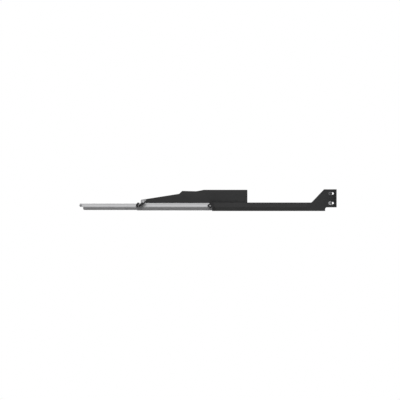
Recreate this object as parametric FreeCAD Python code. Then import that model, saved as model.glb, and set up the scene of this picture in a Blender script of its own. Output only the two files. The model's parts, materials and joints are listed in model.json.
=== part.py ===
import FreeCAD, Part
import math
import os

# Telescoping fibre slack tray for a 19 inch rack, one unit high, pulled out to its full reach.
# The tray reaches from the rack along -X, and +Z is up. Lengths are in millimetres.
# Right-hand pieces (on -Y) are modelled first, and left-hand ones are their mirror image.
# While modelling, heights count from the underside of the arms and "out" is the distance from the
# middle plane. The origin ends up in the middle of the rack holes, on the face that meets the posts.

# Rack interface
rack_hole_span = 465.1
rack_hole_pitch = 15.875
rack_hole_radius = 3.4
lower_hole_height = 22.0
flange_margin = 8.75
flange_thickness = 2.0
flange_bend = 2.4
flange_bottom = 7.3
flange_leg = 22.0
flange_corner = 2.0
ear_top = 43.4

# Bracket arms
hole_to_arm = 11.05
arm_length = 249.0
arm_height = 17.0
arm_wall = 1.0
arm_bend = 0.9
crease_height = 7.8
crease_depth = 3.0
crease_end = 62.0
crease_fade = 8.0
ear_slope_run = 25.0
ear_flat = 25.3
ear_step_run = 23.0
ear_step_round = 3.8
ear_corner_round = 1.0
ear_shoulder_round = 2.0
ear_foot_round = 3.0
bumper_length = 8.0

# Screws through the slotted ear
ear_screw_inset = 12.9
ear_screw_heights = (15.8, 35.0)
ear_slot_play = 5.0
ear_slot_clearance = 0.2
ear_screw_radius = 2.0
ear_screw_head_radius = 3.8
ear_screw_head_height = 2.2
ear_screw_crown = 1.5
ear_screw_past_nut = 1.0
ear_nut_flats = 7.0
ear_nut_height = 3.2
socket_flats = 2.5
socket_depth = 1.3

# Rails
rail_wall = 0.8
rail_bend = 0.6
rail_clearance = 0.12
middle_reach = 150.0
middle_length = 212.0
inner_reach = 114.0
inner_length = 166.0
inner_trim = 6.0
inner_trim_round = 3.0
lip_height = 10.6
block_head = 4.0
block_plug = 36.0
glide_plug = 16.0

# Mouth guides
guide_wall = 1.0
guide_blank = 20.0
nose_height = 11.4
nose_round = 0.8
chin_round = 0.4
arm_brow = 1.5
arm_nose = 9.5
arm_chin = 5.5
arm_chin_height = 6.6
arm_guide_lap_top = 2.0
arm_guide_lap_bottom = 7.5
guide_window_setback = 3.9
guide_window_radius = 2.0
middle_brow = -1.0
middle_nose = 2.7
middle_chin = 0.8
middle_chin_height = 7.4
middle_guide_lap_top = 5.0
middle_guide_waist = 1.6
middle_guide_lap_bottom = 3.0

# Tray
rail_depth = 11.5
tray_sheet = 1.2
edge_gap = 0.6
wall_foot = 14.0
wall_foot_height = 3.2
wall_front_rise = 2.7
wall_front_round = 3.5
wall_ramp_end = 34.4
wall_step_top = 40.2
wall_dip = 0.7
wall_top = 42.4
tray_setback = 7.3
tray_overhang = 8.5
wall_ramp_run = 76.7
wall_step_run = 6.0
wall_ledge_run = 28.0
wall_rise_run = 16.0
wall_corner_round = 1.5
wall_soft_round = 4.0
wall_bend_radius = 0.8
floor_inset = 5.7
floor_side_gap = 0.3
front_edge_drop = 4.6
rear_lip_height = 11.0
floor_bend_radius = 2.0
foot_inset = 5.0
tie_slot_length = 24.0
tie_slot_width = 5.0
tie_slot_round = 2.0
tie_slot_spread = 18.0
tie_slots_from_wall = 35.0

# Rivets and small screws
rivet_radius = 1.6
rivet_head_radius = 2.5
rivet_head_height = 0.8
rail_rivet_count = 3
rail_rivet_from_mouth = 20.0
rail_rivet_from_block = 12.0
foot_rivet_count = 3
foot_rivet_from_front = 30.0
foot_rivet_from_rear = 25.0
small_screw_radius = 1.5
small_head_radius = 3.0
small_head_height = 2.0
block_screw_bite = 7.0
hole_clearance = 0.1

# Spools and clips
spool_from_wall = 110.0
spool_from_rear = 68.5
hub_radius = 35.0
hub_wall = 2.4
hub_rim_round = 0.8
hub_height = 20.0
spool_reach = 60.0
finger_count = 4
finger_width = 16.0
finger_thickness = 2.0
finger_tip = 5.0
finger_tip_round = 5.0
finger_outer_round = 3.0
finger_inner_round = 1.0
spool_base_inner = 20.0
spool_screw_count = 3
spool_screw_circle = 26.0
clip_from_wall = 60.0
clip_spacing = 95.0
clip_from_front = 39.7
clip_radius = 6.2
clip_wall = 1.8
clip_mouth = 5.0
clip_length = 10.0
clip_foot_width = 20.0
clip_peg_radius = 1.9

# Cam levers
lever_setback = 11.8
lever_rise = 3.72
lever_lower = (-7.3, -9.1)
lever_upper = (3.7, -1.1)
lever_half_width = 2.2
lever_end_round = 2.0
lever_thickness = 2.2
lever_boss_radius = 3.0
lever_gap = 0.25
lever_pin_radius = 1.5
lever_pin_clearance = 0.05
lever_pin_head = 1.0
lug_length = 10.5
lug_margin = 0.3
lug_round = 2.5
cam_width = 3.0
cam_round = 1.0
cam_thickness = 4.0
cam_gap = 0.1
cam_window_length = 10.0
cam_window_margin = 1.0

# Lacing bar
bar_radius = 2.5
bar_setback = 1.2
bar_drop = 3.36
bar_seat = 2.5
plug_length = 14.0
plug_nose_radius = 2.9
plug_boss_rise = 0.5
bar_screw_radius = 1.2
bar_screw_depth = 10.0
bar_screw_tip_gap = 1.0
bar_head_radius = 2.4
bar_head_height = 1.2

# How far a cutting tool runs past the face that it cuts
overrun = 1.0

# Values that follow from the sizes above
Vector = FreeCAD.Vector
rack_width = rack_hole_span + 2 * flange_margin
arm_half_width = rack_hole_span / 2 - hole_to_arm
wall_out = arm_half_width - rail_depth
origin_height = lower_hole_height + rack_hole_pitch / 2
upper_slope = crease_depth / (arm_height - crease_height)
lower_slope = crease_depth / crease_height
web_share = math.sqrt(1 + max(upper_slope, lower_slope) ** 2)
ear_out = arm_half_width - crease_depth
ear_in = ear_out - arm_wall
leg_in = ear_in - flange_thickness
middle_mouth = -(arm_length + middle_reach)
inner_tip = middle_mouth - inner_reach
middle_end = middle_mouth + middle_length
inner_end = inner_tip + inner_length
tray_front = middle_mouth + tray_setback
tray_rear = middle_end + tray_overhang
wall_ramp_x = tray_front + wall_ramp_run
wall_dip_x = wall_ramp_x + wall_step_run + wall_ledge_run
spool_x = tray_rear - spool_from_rear
spool_offset = wall_out - spool_from_wall
outer_clip_offset = wall_out - clip_from_wall
inner_clip_offset = outer_clip_offset - clip_spacing
clip_offsets = (-outer_clip_offset, -inner_clip_offset, inner_clip_offset, outer_clip_offset)
tie_offset = wall_out - tie_slots_from_wall
clip_x = tray_front + clip_from_front
lever_x = middle_mouth + lever_setback
bar_x = inner_tip + bar_setback
block_screw_x = middle_end - block_plug / 2
channel_edge = wall_out + edge_gap
inner_edge = wall_out + rail_wall + rail_clearance + edge_gap
floor_bottom = wall_foot_height + tray_sheet
floor_top = floor_bottom + tray_sheet
floor_half_width = wall_out - tray_sheet - wall_bend_radius - floor_side_gap
floor_front = tray_front + floor_inset
foot_rivet_out = wall_out - tray_sheet - wall_foot / 2
rail_rivet_height = floor_top + small_head_radius + edge_gap
ear_slot_radius = ear_screw_radius + ear_slot_clearance


def point(x, out, height):
    """Place on the right-hand side, from a distance out of the middle plane and a height."""
    return Vector(x, -out, height)


def left_copy(shape):
    return shape.mirror(Vector(0, 0, 0), Vector(0, 1, 0))


def both_sides(shapes):
    return shapes + [left_copy(shape) for shape in shapes]


def spaced(first, last, count):
    """Evenly spaced places from the first to the last."""
    return [first + (last - first) * step / (count - 1) for step in range(count)]


def rounded_face(corners):
    """Face on a closed outline of (place, radius) corners; a radius above zero rounds its corner."""
    count = len(corners)
    entries = []
    exits = []
    arcs = []
    for index, (corner, radius) in enumerate(corners):
        before = (corners[index - 1][0] - corner).normalize()
        after = (corners[(index + 1) % count][0] - corner).normalize()
        half_turn = before.getAngle(after) / 2
        setback = radius / math.tan(half_turn)
        entries.append(corner + before * setback)
        exits.append(corner + after * setback)
        towards = (before + after).normalize() if radius else before
        arcs.append(corner + towards * (radius / math.sin(half_turn) - radius))
    edges = []
    for index, (corner, radius) in enumerate(corners):
        edges.append(Part.LineSegment(exits[index - 1], entries[index]).toShape())
        if radius:
            edges.append(Part.Arc(entries[index], arcs[index], exits[index]).toShape())
    return Part.Face(Part.Wire(edges))


def plate(outline, inner, outer):
    """Plate with a side-view outline of (x, height, radius), between two distances out."""
    corners = [(point(x, inner, height), radius) for x, height, radius in outline]
    return rounded_face(corners).extrude(Vector(0, inner - outer, 0))


def along_x(section, start, end):
    """Bar with a cross-section of (out, height, radius) corners, between two places along X."""
    corners = [(point(start, out, height), radius) for out, height, radius in section]
    return rounded_face(corners).extrude(Vector(end - start, 0, 0))


def upright(plan, bottom, top):
    """Upright prism on a plan of (x, y, radius) corners."""
    corners = [(Vector(x, y, bottom), radius) for x, y, radius in plan]
    return rounded_face(corners).extrude(Vector(0, 0, top - bottom))


def pin(x, height, radius, inner, outer):
    """Round pin across the object, between two distances out."""
    return Part.makeCylinder(radius, outer - inner, point(x, inner, height), Vector(0, -1, 0))


def post(x, y, radius, bottom, top):
    """Upright round post."""
    return Part.makeCylinder(radius, top - bottom, Vector(x, y, bottom), Vector(0, 0, 1))


def hexagon(x, height, flats, inner, outer):
    radius = flats / math.sqrt(3)
    outline = []
    for step in range(6):
        angle = math.radians(60 * step)
        outline.append((x + radius * math.cos(angle), height + radius * math.sin(angle), 0))
    return plate(outline, inner, outer)


def slot(x, height, radius, play, inner, outer):
    """Slotted hole across the object, from a round end at x over the play along +X."""
    start = point(x, inner, height)
    end = point(x + play, inner, height)
    up = Vector(0, 0, radius)
    side = Vector(radius, 0, 0)
    edges = [
        Part.LineSegment(start + up, end + up).toShape(),
        Part.Arc(end + up, end + side, end - up).toShape(),
        Part.LineSegment(end - up, start - up).toShape(),
        Part.Arc(start - up, start - side, start + up).toShape(),
    ]
    return Part.Face(Part.Wire(edges)).extrude(Vector(0, inner - outer, 0))


def web_out(height, apex):
    """How far out a creased web stands at a height, when its ridge stands at apex."""
    if height >= crease_height:
        return apex - (height - crease_height) * upper_slope
    return apex - (crease_height - height) * lower_slope


def ridge_outline(level, edge, bend=0):
    """Closed section with a creased outer side, a flat inner side at edge and bent outer corners."""
    bottom, top, apex = level
    return [
        (edge, bottom, 0),
        (web_out(bottom, apex), bottom, bend),
        (apex, crease_height, 0),
        (web_out(top, apex), top, bend),
        (edge, top, 0),
    ]


def inside(level, wall):
    """Bottom, top and ridge one wall further in."""
    bottom, top, apex = level
    return (bottom + wall, top - wall, apex - wall * web_share)


def channel(level, wall, edge, bend):
    """Section of a creased channel, open towards the middle."""
    inner = ridge_outline(inside(level, wall), edge)
    return ridge_outline(level, edge, bend) + inner[::-1]


# Bottom, top and ridge of each channel: every rail fits inside the last with the rail clearance
arm_level = (0.0, arm_height, arm_half_width)
arm_hollow = inside(arm_level, arm_wall)
middle_level = inside(arm_hollow, rail_clearance)
middle_hollow = inside(middle_level, rail_wall)
inner_level = inside(middle_hollow, rail_clearance)
inner_hollow = inside(inner_level, rail_wall)
lever_height = middle_level[1] + lever_rise
wall_front_height = lever_height + wall_front_rise
wall_slope = (wall_ramp_end - wall_front_height) / wall_ramp_run
bar_height = inner_level[1] - bar_drop
bar_seat_out = web_out(bar_height, inner_hollow[2]) - bar_seat
bar_boss_out = web_out(bar_height, inner_level[2]) + plug_boss_rise


def bracket_arm():
    """Creased channel that fades into a flat, slotted ear, bent from one sheet."""
    arm = along_x(channel(arm_level, arm_wall, channel_edge, arm_bend), -arm_length, -crease_end)
    ridge = [(ear_in, 0), (ear_out, 0), (arm_half_width, crease_height), (ear_out, arm_height)]
    ridge += [(ear_in, arm_height), (arm_hollow[2], crease_height)]
    flat = [(ear_in, 0), (ear_out, 0), (ear_out, crease_height), (ear_out, arm_height)]
    flat += [(ear_in, arm_height), (ear_in, crease_height)]
    fade_end = crease_end - crease_fade
    wires = []
    for x, section in ((-crease_end, ridge), (-fade_end, flat)):
        corners = [point(x, out, height) for out, height in section]
        wires.append(Part.makePolygon(corners + corners[:1]))
    fade = Part.makeLoft(wires, True, True)
    ear_right = -flange_thickness - hole_clearance
    outline = [
        (-fade_end, 0, 0),
        (-ear_step_run, 0, 0),
        (-ear_step_run, flange_bottom, ear_step_round),
        (ear_right, flange_bottom, 0),
        (ear_right, ear_top, ear_corner_round),
        (-ear_flat, ear_top, ear_shoulder_round),
        (-ear_flat - ear_slope_run, arm_height, ear_foot_round),
        (-fade_end, arm_height, 0),
    ]
    ear = plate(outline, ear_in, ear_out)
    for height in ear_screw_heights:
        ear = ear.cut(ear_slot(height, ear_in, ear_out))
    return arm.fuse([fade, ear]).removeSplitter()


def ear_slot(height, inner, outer):
    return slot(-ear_screw_inset, height, ear_slot_radius, ear_slot_play, inner - overrun, outer + overrun)


def rack_flange():
    """Angle with the two rack holes of its side, and a slotted leg behind the ear."""
    section = [
        (point(0, leg_in, flange_bottom), flange_bend),
        (point(0, rack_width / 2, flange_bottom), 0),
        (point(-flange_thickness, rack_width / 2, flange_bottom), 0),
        (point(-flange_thickness, ear_in, flange_bottom), 0),
        (point(-flange_leg, ear_in, flange_bottom), 0),
        (point(-flange_leg, leg_in, flange_bottom), 0),
    ]
    flange = rounded_face(section).extrude(Vector(0, 0, ear_top - flange_bottom))
    depth = flange_thickness + 2 * overrun
    for height in (lower_hole_height, lower_hole_height + rack_hole_pitch):
        start = point(-flange_thickness - overrun, rack_hole_span / 2, height)
        flange = flange.cut(Part.makeCylinder(rack_hole_radius, depth, start, Vector(1, 0, 0)))
    for height in ear_screw_heights:
        flange = flange.cut(ear_slot(height, leg_in, ear_in))
    corners = []
    for edge in flange.Edges:
        at_rim = abs(edge.CenterOfMass.y + rack_width / 2) < 0.01
        if at_rim and abs(edge.Length - flange_thickness) < 0.01:
            corners.append(edge)
    return flange.makeFillet(flange_corner, corners)


def ear_screws():
    """Button-head socket screws through the ear and the flange's leg."""
    screws = []
    crown = ear_out + ear_screw_head_height
    tip = leg_in - ear_nut_height - ear_screw_past_nut
    for height in ear_screw_heights:
        shank = pin(-ear_screw_inset, height, ear_screw_radius, tip, ear_out)
        head = pin(-ear_screw_inset, height, ear_screw_head_radius, ear_out, crown)
        rim = [edge for edge in head.Edges if edge.BoundBox.YMax < -crown + 0.01]
        head = head.makeFillet(ear_screw_crown, rim)
        socket = hexagon(-ear_screw_inset, height, socket_flats, crown - socket_depth, crown + overrun)
        screws.append(shank.fuse(head).cut(socket))
    return screws


def ear_nuts():
    nuts = []
    face = leg_in - ear_nut_height
    for height in ear_screw_heights:
        nut = hexagon(-ear_screw_inset, height, ear_nut_flats, face, leg_in)
        radius = ear_screw_radius + hole_clearance
        nuts.append(nut.cut(pin(-ear_screw_inset, height, radius, face - overrun, leg_in + overrun)))
    return nuts


def mouth_guide(carrier, slider, mouth, outline):
    """Plastic guide clipped on a channel's mouth, with a nose that the next rail runs through."""
    bottom, top, apex = carrier
    start = mouth - guide_blank
    end = mouth + guide_blank
    over = (bottom, top + guide_wall, apex + guide_wall * web_share)
    under = (bottom - guide_blank, top, apex)
    blank = along_x(ridge_outline(over, channel_edge), start, end)
    seat = along_x(ridge_outline(under, channel_edge - guide_blank), mouth, end + overrun)
    run = inside(slider, -rail_clearance)
    bore = along_x(ridge_outline(run, channel_edge - guide_blank), start - overrun, mouth + overrun)
    shape = plate(outline, channel_edge - overrun, over[2] + overrun)
    return blank.cut(seat).cut(bore).common(shape)


def arm_guide():
    """Guide on the arm's mouth: a pointed nose with a window, and a lap over the arm with a slanted edge."""
    mouth = -arm_length
    above = arm_height + guide_wall + overrun
    outline = [
        (mouth - arm_brow, above, 0),
        (mouth - arm_nose, nose_height, nose_round),
        (mouth - arm_chin, arm_chin_height, chin_round),
        (mouth + hole_clearance, arm_chin_height, 0),
        (mouth + hole_clearance, -overrun, 0),
        (mouth + arm_guide_lap_bottom, -overrun, 0),
        (mouth + arm_guide_lap_top, above, 0),
    ]
    guide = mouth_guide(arm_level, middle_level, mouth, outline)
    far = arm_half_width + guide_blank
    return guide.cut(pin(mouth - guide_window_setback, nose_height, guide_window_radius, wall_out, far))


def middle_guide():
    """Guide on the middle rail's mouth, a narrow pointed clip over the rail's upper half."""
    mouth = middle_mouth
    above = middle_level[1] + guide_wall + overrun
    outline = [
        (mouth - middle_brow, above, 0),
        (mouth - middle_nose, nose_height, nose_round),
        (mouth - middle_chin, middle_chin_height, chin_round),
        (mouth + middle_guide_lap_bottom, middle_chin_height, chin_round),
        (mouth + middle_guide_waist, nose_height, chin_round),
        (mouth + middle_guide_lap_top, above, 0),
    ]
    return mouth_guide(middle_level, inner_level, mouth, outline)


def arm_bumper():
    return along_x(ridge_outline(arm_hollow, channel_edge), -crease_end - bumper_length, -crease_end)


def rail_rivet_places():
    """Places along the middle rail where it is riveted to the tray wall."""
    last = middle_end - block_plug - rail_rivet_from_block
    return spaced(middle_mouth + rail_rivet_from_mouth, last, rail_rivet_count)


def middle_rail():
    """Creased channel with an inner lip on the tray wall, and a lug that carries the cam lever."""
    rail = along_x(channel(middle_level, rail_wall, wall_out, rail_bend), middle_mouth, middle_end)
    bottom, top, apex = middle_level
    lip = [
        (wall_out, bottom, 0),
        (wall_out + rail_wall, bottom, 0),
        (wall_out + rail_wall, bottom + lip_height, 0),
        (wall_out, bottom + lip_height, 0),
    ]
    front = tray_front - lug_margin
    front_height = wall_front_height + lug_margin
    lug_outline = [
        (front, top - rail_wall, 0),
        (front, front_height, lug_round),
        (front + lug_length, front_height + wall_slope * lug_length, 0),
        (front + lug_length, top - rail_wall, 0),
    ]
    lug = plate(lug_outline, wall_out, wall_out + rail_wall)
    rail = rail.fuse([along_x(lip, middle_mouth, middle_end), lug]).removeSplitter()
    cam_inner, cam_outer = cam_span()
    window_start = lever_x - cam_window_length / 2
    window = [
        (cam_inner - cam_window_margin, top - rail_wall - overrun, 0),
        (cam_outer + cam_window_margin, top - rail_wall - overrun, 0),
        (cam_outer + cam_window_margin, top + overrun, 0),
        (cam_inner - cam_window_margin, top + overrun, 0),
    ]
    rail = rail.cut(along_x(window, window_start, window_start + cam_window_length))
    return rail.cut(wall_fastener_holes(wall_out, wall_out + rail_wall))


def wall_fastener_holes(inner, outer):
    """Holes across the tray wall and the middle rail, for rivets, block screw and lever pin."""
    near = inner - overrun
    far = outer + overrun
    radius = rivet_radius + hole_clearance
    holes = [pin(x, rail_rivet_height, radius, near, far) for x in rail_rivet_places() + [block_screw_x]]
    holes.append(pin(lever_x, lever_height, lever_pin_radius + hole_clearance, near, far))
    return Part.makeCompound(holes)


def slide_block():
    """Plastic block that plugs the middle rail's inner end and runs in the arm."""
    face = wall_out + rail_wall
    plug = along_x(ridge_outline(middle_hollow, face), middle_end - block_plug, middle_end)
    head = along_x(ridge_outline(middle_level, face, rail_bend), middle_end, middle_end + block_head)
    radius = small_screw_radius + hole_clearance
    bore = pin(block_screw_x, rail_rivet_height, radius, wall_out, wall_out + block_screw_bite + overrun)
    return plug.fuse(head).removeSplitter().cut(bore)


def block_screw():
    seat = wall_out - tray_sheet
    shank = pin(block_screw_x, rail_rivet_height, small_screw_radius, seat, wall_out + block_screw_bite)
    head = pin(block_screw_x, rail_rivet_height, small_head_radius, seat - small_head_height, seat)
    return shank.fuse(head)


def rail_rivets():
    rivets = []
    inner = wall_out - tray_sheet
    outer = wall_out + rail_wall
    for x in rail_rivet_places():
        shank = pin(x, rail_rivet_height, rivet_radius, inner, outer)
        heads = [
            pin(x, rail_rivet_height, rivet_head_radius, outer, outer + rivet_head_height),
            pin(x, rail_rivet_height, rivet_head_radius, inner - rivet_head_height, inner),
        ]
        rivets.append(shank.fuse(heads))
    return rivets


def foot_rivet_places():
    first = tray_front + foot_rivet_from_front
    return spaced(first, tray_rear - foot_rivet_from_rear, foot_rivet_count)


def foot_rivets():
    rivets = []
    lower_head = wall_foot_height - rivet_head_height
    for x in foot_rivet_places():
        shank = post(x, -foot_rivet_out, rivet_radius, wall_foot_height, floor_top)
        heads = [
            post(x, -foot_rivet_out, rivet_head_radius, floor_top, floor_top + rivet_head_height),
            post(x, -foot_rivet_out, rivet_head_radius, lower_head, wall_foot_height),
        ]
        rivets.append(shank.fuse(heads))
    return rivets


def tray_wall():
    """Stepped side wall, bent in at its foot under the floor."""
    inner = wall_out - tray_sheet
    section = [
        (wall_out, wall_foot_height, tray_sheet + wall_bend_radius),
        (wall_out, wall_top, 0),
        (inner, wall_top, 0),
        (inner, floor_bottom, wall_bend_radius),
        (wall_out - wall_foot, floor_bottom, 0),
        (wall_out - wall_foot, wall_foot_height, 0),
    ]
    sheet = along_x(section, tray_front, tray_rear)
    outline = [
        (tray_front, wall_foot_height, 0),
        (tray_front, wall_front_height, wall_front_round),
        (wall_ramp_x, wall_ramp_end, wall_corner_round),
        (wall_ramp_x + wall_step_run, wall_step_top, wall_corner_round),
        (wall_dip_x, wall_step_top - wall_dip, wall_soft_round),
        (wall_dip_x + wall_rise_run, wall_top, wall_soft_round),
        (tray_rear, wall_top, wall_corner_round),
        (tray_rear, wall_foot_height, 0),
    ]
    wall = sheet.common(plate(outline, wall_out - wall_foot - overrun, wall_out + overrun))
    for start, end in ((tray_front, floor_front + foot_inset), (tray_rear - foot_inset, tray_rear)):
        wall = wall.cut(Part.makeBox(end - start, wall_foot, floor_top, point(start, inner, 0)))
    foot_holes = []
    for x in foot_rivet_places():
        foot_holes.append(post(x, -foot_rivet_out, rivet_radius + hole_clearance, 0, floor_top))
    return wall.cut(Part.makeCompound(foot_holes)).cut(wall_fastener_holes(inner, wall_out))


def spool_centres():
    return [(spool_x, -spool_offset), (spool_x, spool_offset)]


def spool_screw_places(centre):
    places = []
    for step in range(spool_screw_count):
        angle = 2 * math.pi * (step + 0.25) / spool_screw_count
        x = centre[0] + spool_screw_circle * math.cos(angle)
        y = centre[1] + spool_screw_circle * math.sin(angle)
        places.append((x, y))
    return places


def tray_floor():
    """Sheet floor, turned down along the front and up along the rear, with slots for ties."""
    outer_bend = floor_bend_radius + tray_sheet
    front_edge = floor_top - front_edge_drop
    rear_edge = floor_top + rear_lip_height
    profile = [
        (floor_front, front_edge, 0),
        (floor_front, floor_top, outer_bend),
        (tray_rear - tray_sheet, floor_top, floor_bend_radius),
        (tray_rear - tray_sheet, rear_edge, 0),
        (tray_rear, rear_edge, 0),
        (tray_rear, floor_bottom, outer_bend),
        (floor_front + tray_sheet, floor_bottom, floor_bend_radius),
        (floor_front + tray_sheet, front_edge, 0),
    ]
    floor = plate(profile, -floor_half_width, floor_half_width)
    top = floor_top + overrun
    holes = []
    for x in foot_rivet_places():
        for y in (-foot_rivet_out, foot_rivet_out):
            holes.append(post(x, y, rivet_radius + hole_clearance, 0, top))
    for centre in spool_centres():
        for x, y in spool_screw_places(centre):
            holes.append(post(x, y, small_screw_radius + hole_clearance, 0, top))
    for y in clip_offsets:
        holes.append(post(clip_x, y, clip_peg_radius + hole_clearance, 0, top))
    for x in (clip_x, spool_x):
        for y in (-tie_offset, 0, tie_offset):
            for side in (-1, 1):
                holes.append(tie_slot(x, y + side * tie_slot_spread / 2, top))
    return floor.cut(Part.makeCompound(holes))


def tie_slot(x, y, top):
    """What is punched out of the floor for a tie: a slot along X with rounded ends."""
    plan = []
    for along, across in ((-1, -1), (1, -1), (1, 1), (-1, 1)):
        corner_x = x + along * tie_slot_length / 2
        corner_y = y + across * tie_slot_width / 2
        plan.append((corner_x, corner_y, tie_slot_round))
    return upright(plan, 0, top)


def fibre_spool(centre):
    """Moulded spool: open hub, base ring and fingers that keep the turns down."""
    x, y = centre
    top = floor_top + hub_height
    bore_radius = hub_radius - hub_wall
    hub = post(x, y, hub_radius, floor_top, top)
    base_bore = post(x, y, spool_base_inner, floor_top, top)
    bore = post(x, y, bore_radius, floor_top + hub_wall, top + overrun)
    fingers = []
    for step in range(finger_count):
        finger = spool_finger(top)
        finger.translate(Vector(x, y, 0))
        finger.rotate(Vector(x, y, 0), Vector(0, 0, 1), 360 * (step + 0.5) / finger_count)
        fingers.append(finger)
    spool = hub.fuse(fingers).cut(bore).cut(base_bore).removeSplitter()
    rims = []
    for edge in spool.Edges:
        if isinstance(edge.Curve, Part.Circle) and abs(edge.Curve.Radius - bore_radius) < 0.01:
            if abs(edge.Curve.Center.z - top) < 0.01:
                rims.append(edge)
    spool = spool.makeFillet(hub_rim_round, rims)
    for place_x, place_y in spool_screw_places(centre):
        spool = spool.cut(post(place_x, place_y, small_screw_radius + hole_clearance, 0, top))
    return spool


def spool_finger(top):
    """Finger along +X from the middle of a spool, with a turned-down, rounded tip."""
    side = finger_width / 2
    profile = [
        (Vector(0, -side, top), 0),
        (Vector(spool_reach, -side, top), finger_outer_round),
        (Vector(spool_reach, -side, top - finger_tip), 0),
        (Vector(spool_reach - finger_thickness, -side, top - finger_tip), 0),
        (Vector(spool_reach - finger_thickness, -side, top - finger_thickness), finger_inner_round),
        (Vector(0, -side, top - finger_thickness), 0),
    ]
    plan = [
        (0, -side, 0),
        (spool_reach, -side, finger_tip_round),
        (spool_reach, side, finger_tip_round),
        (0, side, 0),
    ]
    blank = rounded_face(profile).extrude(Vector(0, finger_width, 0))
    return blank.common(upright(plan, top - finger_tip, top))


def spool_screws():
    screws = []
    seat = floor_top + hub_wall
    for centre in spool_centres():
        for x, y in spool_screw_places(centre):
            shank = post(x, y, small_screw_radius, floor_bottom - tray_sheet, seat)
            head = post(x, y, small_head_radius, seat, seat + small_head_height)
            screws.append(shank.fuse(head))
    return screws


def fibre_clips():
    """Open rings that hold fibre along the tray, each pegged into the floor."""
    clips = []
    outer = clip_radius + clip_wall
    for y in clip_offsets:
        start = Vector(clip_x - clip_length / 2, y, floor_top + outer)
        ring = Part.makeCylinder(outer, clip_length, start, Vector(1, 0, 0))
        ring = ring.cut(Part.makeCylinder(clip_radius, clip_length, start, Vector(1, 0, 0)))
        mouth_corner = start - Vector(0, clip_mouth / 2, 0)
        mouth = Part.makeBox(clip_length, clip_mouth, outer + overrun, mouth_corner)
        foot_corner = Vector(start.x, y - clip_foot_width / 2, floor_top)
        foot = Part.makeBox(clip_length, clip_foot_width, clip_wall, foot_corner)
        peg = post(clip_x, y, clip_peg_radius, floor_bottom - tray_sheet, floor_top + clip_wall / 2)
        clips.append(ring.cut(mouth).fuse([foot, peg]).removeSplitter())
    return clips


def lever_span():
    """Distances out between which the lever's plate lies, clear of the middle rail's guide."""
    inner = middle_level[2] + guide_wall * web_share + lever_gap
    return (inner, inner + lever_thickness)


def cam_span():
    """Distances out between which the lever's cam works on the inner rail."""
    middle = (inner_edge + web_out(inner_level[1], inner_level[2])) / 2
    return (middle - cam_thickness / 2, middle + cam_thickness / 2)


def cam_lever():
    """Rocking lever with a boss on its pin and a cam that presses on the inner rail."""
    plate_inner, plate_outer = lever_span()
    lower = Vector(lever_x + lever_lower[0], 0, lever_height + lever_lower[1])
    upper = Vector(lever_x + lever_upper[0], 0, lever_height + lever_upper[1])
    along = (upper - lower).normalize()
    across = Vector(-along.z, 0, along.x)
    corners = []
    for end, way in ((lower, -1), (upper, 1)):
        for side in (-way, way):
            corner = end + along * (way * lever_half_width) + across * (side * lever_half_width)
            corners.append((corner.x, corner.z, lever_end_round))
    arm = plate(corners, plate_inner, plate_outer)
    boss_inner = wall_out + rail_wall + lever_gap
    boss = pin(lever_x, lever_height, lever_boss_radius, boss_inner, plate_outer)
    cam_bottom = inner_level[1] + cam_gap
    cam_outline = [
        (lever_x - cam_width / 2, lever_height, 0),
        (lever_x - cam_width / 2, cam_bottom, cam_round),
        (lever_x + cam_width / 2, cam_bottom, cam_round),
        (lever_x + cam_width / 2, lever_height, 0),
    ]
    lever = arm.fuse([boss, plate(cam_outline, *cam_span())]).removeSplitter()
    radius = lever_pin_radius + lever_pin_clearance
    return lever.cut(pin(lever_x, lever_height, radius, wall_out, plate_outer + overrun))


def lever_pin():
    """Headed pin, riveted in the lug and the tray wall."""
    inner = wall_out - tray_sheet
    outer = lever_span()[1] + lever_pin_clearance
    shank = pin(lever_x, lever_height, lever_pin_radius, inner, outer)
    head = pin(lever_x, lever_height, lever_boss_radius, outer, outer + lever_pin_head)
    rivet = pin(lever_x, lever_height, rivet_head_radius, inner - rivet_head_height, inner)
    return shank.fuse([head, rivet])


def tip_corner():
    """What is trimmed off the lower half of the inner rail's tip, leaving a rounded corner."""
    front = inner_tip - plug_nose_radius - overrun
    trim_x = inner_tip + inner_trim
    bottom = inner_level[0]
    below = bottom - overrun
    outline = [
        (front, below, 0),
        (front, crease_height, 0),
        (trim_x, crease_height, 0),
        (trim_x, bottom, inner_trim_round),
        (trim_x + 2 * inner_trim_round, bottom, 0),
        (trim_x + 2 * inner_trim_round, below, 0),
    ]
    return plate(outline, wall_out, arm_half_width)


def inner_rail():
    """Creased channel, trimmed at its tip and notched for the boss of the end plug."""
    rail = along_x(channel(inner_level, rail_wall, inner_edge, rail_bend), inner_tip, inner_end)
    notch_radius = bar_head_radius + 2 * hole_clearance
    notch = pin(bar_x, bar_height, notch_radius, bar_seat_out, arm_half_width)
    return rail.cut(tip_corner()).cut(notch)


def inner_glide():
    """Plastic glide that plugs the inner rail's inner end and runs in the middle rail."""
    face = inner_edge + edge_gap
    plug = along_x(ridge_outline(inner_hollow, face), inner_end - glide_plug, inner_end)
    head = along_x(ridge_outline(inner_level, face, rail_bend), inner_end, inner_end + block_head)
    return plug.fuse(head).removeSplitter()


def end_plug():
    """Plug in the inner rail's tip: a rounded nose round the lacing bar, and a boss through the web."""
    section = ridge_outline(inner_hollow, inner_edge)
    body = along_x(section, inner_tip, inner_tip + plug_length)
    ahead = along_x(section, inner_tip - plug_nose_radius, inner_tip + plug_nose_radius)
    nose = ahead.common(pin(bar_x, bar_height, plug_nose_radius, inner_edge, arm_half_width))
    boss = pin(bar_x, bar_height, bar_head_radius, bar_seat_out, bar_boss_out)
    plug = body.cut(tip_corner()).fuse([nose, boss]).removeSplitter()
    bore = pin(bar_x, bar_height, bar_radius + hole_clearance, inner_edge - overrun, bar_seat_out)
    radius = bar_screw_radius + hole_clearance
    return plug.cut(bore).cut(pin(bar_x, bar_height, radius, inner_edge, bar_boss_out + overrun))


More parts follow.
